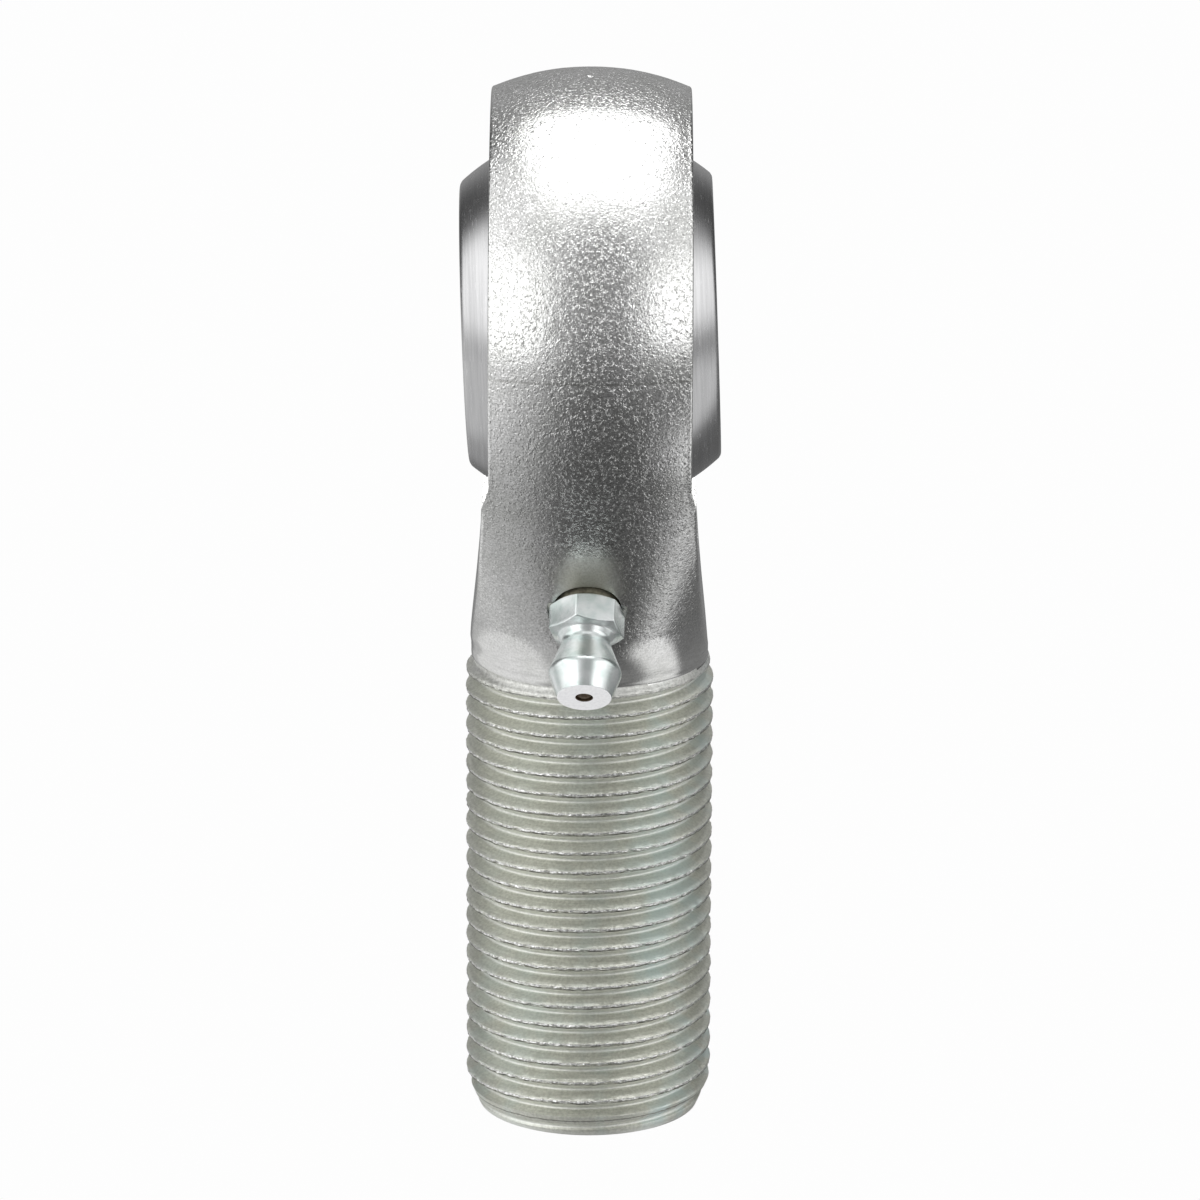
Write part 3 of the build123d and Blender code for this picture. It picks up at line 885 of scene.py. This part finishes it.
def bright_zinc():
    m = Mat("bright_zinc_fitting")
    rot = m.mapped(m.mapped(m.obj, loc=tuple(-NIP * MM)), rot=(math.radians(-135.0), 0, 0))
    x, y, s = m.xyz(rot)
    r, a, _ = polar(m, x, y, s)
    lay = m.noise(m.join(m.math("MULTIPLY", r, 9000.0), m.math("MULTIPLY", a, 0.8), m.math("MULTIPLY", s, 9000.0)), 1.0, 2.0, 0.6)
    cloud = m.noise(m.obj, 700, 2.0, 0.5)
    speck = m.ramp(m.noise(m.obj, 3600, 2.0, 0.6), [(0.63, 0.0), (0.72, 1.0)])
    col = m.ramp(cloud, [(0.35, (0.58, 0.65, 0.63)), (0.65, (0.75, 0.78, 0.78))])
    col = m.mix(m.math("MULTIPLY", speck, 0.25), col, (0.45, 0.47, 0.46))
    rg = m.math("ADD", m.math("MULTIPLY", cloud, 0.12), m.math("MULTIPLY_ADD", lay, 0.06, 0.15))
    m.set(Base_Color=col, Metallic=0.85, Roughness=rg, Normal=m.bump(lay, 0.000008, 0.7))
    return m.m


def tip_zinc():
    m = Mat("matte_zinc_tip")
    g = m.noise(m.obj, 4200, 3.0, 0.6)
    c = m.noise(m.obj, 1500, 2.0, 0.5)
    col = m.ramp(g, [(0.3, (0.70, 0.70, 0.715)), (0.6, (0.80, 0.80, 0.81))])
    m.set(Base_Color=col, Metallic=0.0, Roughness=m.math("MULTIPLY_ADD", c, 0.14, 0.5), Normal=m.bump(g, 0.00001, 0.8))
    return m.m


def bore_dark():
    # the bore and the check ball: grease brown, deepened to near black as painted shade inside the hole
    m = Mat("greased_bore_shade")
    g = m.noise(m.obj, 2600, 3.0, 0.6)
    col = m.ramp(g, [(0.3, (0.035, 0.022, 0.012)), (0.7, (0.10, 0.07, 0.045))])
    m.set(Base_Color=col, Metallic=0.3, Roughness=m.math("MULTIPLY_ADD", g, 0.2, 0.3), Normal=m.bump(g, 0.00002, 0.8))
    return m.m


def seat_collar_shade():
    """Painted shade: a dark, dull colour on the fitting's collar and its thread down in the gap round the collar, where
    shade falls.
    """
    m = Mat("seat_collar_shade")
    g = m.noise(m.obj, 2400, 3.0, 0.6)
    c = m.noise(m.obj, 800, 2.0, 0.5)
    col = m.ramp(g, [(0.3, (0.09, 0.085, 0.06)), (0.7, (0.24, 0.23, 0.17))])
    m.set(Base_Color=col, Metallic=0.7, Roughness=m.math("MULTIPLY_ADD", c, 0.25, 0.38), Normal=m.bump(g, 0.00002, 0.8))
    return m.m


def spring_steel():
    m = Mat("spring_wire_steel")
    g = m.noise(m.obj, 6000, 2.0, 0.5)
    d = m.noise(m.mapped(m.obj, (1, 1, 6)), 3000, 2.0, 0.5)
    col = m.ramp(g, [(0.3, (0.30, 0.29, 0.27)), (0.7, (0.46, 0.45, 0.43))])
    m.set(Base_Color=col, Metallic=1.0, Roughness=m.math("MULTIPLY_ADD", d, 0.2, 0.22), Normal=m.bump(d, 0.000008, 0.6))
    return m.m


def grease():
    m = Mat("lithium_grease")
    g = m.noise(m.obj, 900, 3.0, 0.55, 0.6)
    s = m.noise(m.obj, 2600, 2.0, 0.5)
    col = m.ramp(g, [(0.3, (0.34, 0.19, 0.05)), (0.7, (0.56, 0.36, 0.12))])
    m.set(Base_Color=col, Roughness=m.math("MULTIPLY_ADD", s, 0.2, 0.22), Normal=m.bump(g, 0.00006, 0.8))
    m.set(Subsurface_Weight=0.25, IOR=1.48)
    return m.m


def dress(ob, mats, pick=None):
    me = ob.data
    me.materials.clear()
    for k in mats:
        me.materials.append(k)
    if pick is not None:
        c = np.zeros(len(me.polygons) * 3)
        me.polygons.foreach_get("center", c)
        idx = pick(c.reshape(-1, 3) / MM).astype(np.int32)
        me.polygons.foreach_set("material_index", idx)
    me.update()


M_FORGE, M_THREAD, M_FACED = forged_zinc(), thread_zinc(), faced_zinc()
M_BALL, M_RACE, M_BRIGHT, M_TIP = ball_steel(), race_steel(), bright_zinc(), tip_zinc()
M_BORE, M_SPRING, M_GREASE, M_COLLAR_SHADE = bore_dark(), spring_steel(), grease(), seat_collar_shade()


def body_pick(c):
    x, y, z = c.T
    rx = np.hypot(y, z)
    i = np.zeros(len(c), int)
    i[z < -30.9] = 1
    i[z < END_Z + 0.02] = 2
    i[(np.abs(x) > 8.79) & (np.abs(x) < 8.83) & (rx < FACING_R + 0.01)] = 2
    i[(rx < 19.9) & (z > -20)] = 2
    s = (c - NIP) @ NIP_AX
    rad = np.linalg.norm((c - NIP) - s[:, None] * NIP_AX, axis=1)
    i[(rad < 3.02) & (s < 0.31) & (s > -9.3) & (rx > 19.1)] = 2
    i[(rad < 3.56) & (np.abs(s - 0.32) < 0.035)] = 2
    i[(np.abs(rad - 3.55) < 0.02) & (s > 0.3) & (s < 2.6)] = 2
    return i


def nip_pick(c):
    s = (c - NIP) @ NIP_AX
    rad = np.linalg.norm((c - NIP) - s[:, None] * NIP_AX, axis=1)
    i = np.zeros(len(c), int)
    i[(s > 9.2)] = 1
    i[(rad < 1.32) & (s < 9.2)] = 2
    # painted shade on the collar and the fitting's thread in the seat gap
    i[(rad < 3.02) & (rad > 1.4) & (s < 0.45)] = 3
    return i


dress(rod, [M_FORGE, M_THREAD, M_FACED], body_pick)
dress(ball, [M_BALL])
dress(race_l, [M_RACE])
dress(race_r, [M_RACE])
dress(nipple, [M_BRIGHT, M_TIP, M_BORE, M_COLLAR_SHADE], nip_pick)
dress(check, [M_BORE])
for node in ("grease_film_left", "grease_film_right", "grease_charge"):
    dress(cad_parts[node], [M_GREASE])
dress(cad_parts["check_spring"], [M_SPRING])

for ob, body, node, slot in (
        (rod, "rod", "rod_body", "zinc_forging"),
        (race_l, "rod", "race_half_left", "race_steel"),
        (race_r, "rod", "race_half_right", "race_steel"),
        (ball, "ball", "ball", "ball_steel"),
        (nipple, "rod", "grease_fitting_body", "bright_zinc"),
        (check, "check_ball", "check_ball", "ball_steel")):
    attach(ob, body)
    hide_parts(node)

# ------------------------------------------------------------------ studio
scene = bpy.context.scene


def emitter(name, color, strength):
    m = bpy.data.materials.new(name)
    m.use_nodes = True
    t = m.node_tree
    t.nodes.clear()
    o = t.nodes.new("ShaderNodeOutputMaterial")
    e = t.nodes.new("ShaderNodeEmission")
    e.inputs[0].default_value = (*color, 1)
    e.inputs[1].default_value = strength
    t.links.new(e.outputs[0], o.inputs[0])
    return m


bpy.ops.mesh.primitive_plane_add(size=24, location=(0, 0, END_Z * MM - 0.0002))
floor = bpy.context.object
floor.name = "floor"
floor.data.materials.append(emitter("pale_floor", (1.0, 1.0, 1.0), 0.985))
floor.visible_glossy = False
floor.visible_shadow = False

world = bpy.data.worlds.new("studio")
scene.world = world
world.use_nodes = True
g = Graph(world.node_tree)
dx, dy, dz = g.xyz(g.tc.outputs["Generated"])


def both(*v):
    out = v[0]
    for k in v[1:]:
        out = g.math("MULTIPLY", out, k)
    return out


ax_ = g.math("ABSOLUTE", dx)
# the room: darker towards the floor and behind the camera, dark behind the object
room = g.ramp(g.span(dz, -1, 1, 0, 1, smooth=False), [(0.0, 0.13), (0.25, 0.17), (0.42, 0.26), (0.55, 0.36), (0.75, 0.5), (1.0, 0.6)])
back = both(g.span(dy, 0.0, 0.45), g.span(dz, -0.25, 0.05))
room = g.lerp(back, room, g.span(ax_, 0.60, 0.25, 0.09, 0.36))
dark = both(g.span(dx, -0.30, 0.02), g.span(dx, 0.46, 0.24, 0, 1), g.span(dy, 0.0, -0.25, 0, 1))
room = g.math("MULTIPLY", room, g.span(dark, 0, 1, 1.0, 0.62, smooth=False))
# big side softboxes either side of the camera
left = both(g.span(dx, -0.26, -0.48, 0, 1), g.span(dx, -0.97, -0.80, 0.72, 1), g.span(dy, 0.42, 0.15, 0, 1), g.span(dz, -0.22, 0.06), g.span(dz, 0.74, 0.48, 0.22, 1))
right = both(g.span(dx, 0.36, 0.54, 0, 1), g.span(dx, 0.80, 0.97, 1, 0.72), g.span(dy, 0.30, 0.02, 0, 1), g.span(dz, -0.12, 0.14), g.span(dz, 0.66, 0.42, 0.22, 1))
# overhead softbox
top = both(g.span(dx, -0.37, -0.24), g.span(dx, 0.45, 0.33, 0, 1), g.span(dy, -0.28, -0.13), g.span(dy, 0.57, 0.43, 0, 1),
           g.span(dz, 0.3, 0.6))
apron = both(g.span(dx, -0.37, -0.24), g.span(dx, 0.45, 0.33, 0, 1), g.span(dy, -0.66, -0.36), g.span(dy, -0.08, -0.2, 0, 1),
             g.span(dz, 0.2, 0.58))
# the table top lights from below at the sides
tl = both(g.math("ADD", g.span(dx, -0.20, -0.45, 0, 0.5), g.span(dx, -0.54, -0.66, 0, 0.5)), g.span(dz, 0.0, -0.35, 0, 1))
tr = both(g.span(dx, 0.38, 0.62, 0, 1), g.span(dy, -0.66, -0.38), g.span(dz, -0.10, -0.36, 0, 1), g.span(dy, 0.20, 0.02, 0, 1))


light = room
for amount, mask in ((1.5, left), (1.4, right), (3.4, top), (0.85, apron), (0.66, tl), (0.75, tr)):
    light = g.math("ADD", light, g.math("MULTIPLY", mask, amount))
bg = g.t.nodes.new("ShaderNodeBackground")
g.t.links.new(g.join(light, light, light), bg.inputs[0])
bg.inputs[1].default_value = 1.0
wo = g.t.nodes.new("ShaderNodeOutputWorld")
g.t.links.new(bg.outputs[0], wo.inputs[0])
cam = bpy.data.cameras.new("camera")
cam.lens = 210.5
cam.sensor_width = 36.0
cam.clip_start = 0.01
cam_ob = bpy.data.objects.new("camera", cam)
scene.collection.objects.link(cam_ob)
cam_ob.matrix_world = (Matrix.Translation((0.000906, -0.600, 0.1575)) @ Matrix.Rotation(math.radians(73.0), 4, "X")
                       @ Matrix.Rotation(0.0039, 4, "Z"))
scene.camera = cam_ob
scene.view_settings.view_transform = "Standard"
scene.view_settings.look = "None"
scene.view_settings.exposure = 0.0
scene.view_settings.gamma = 1.0
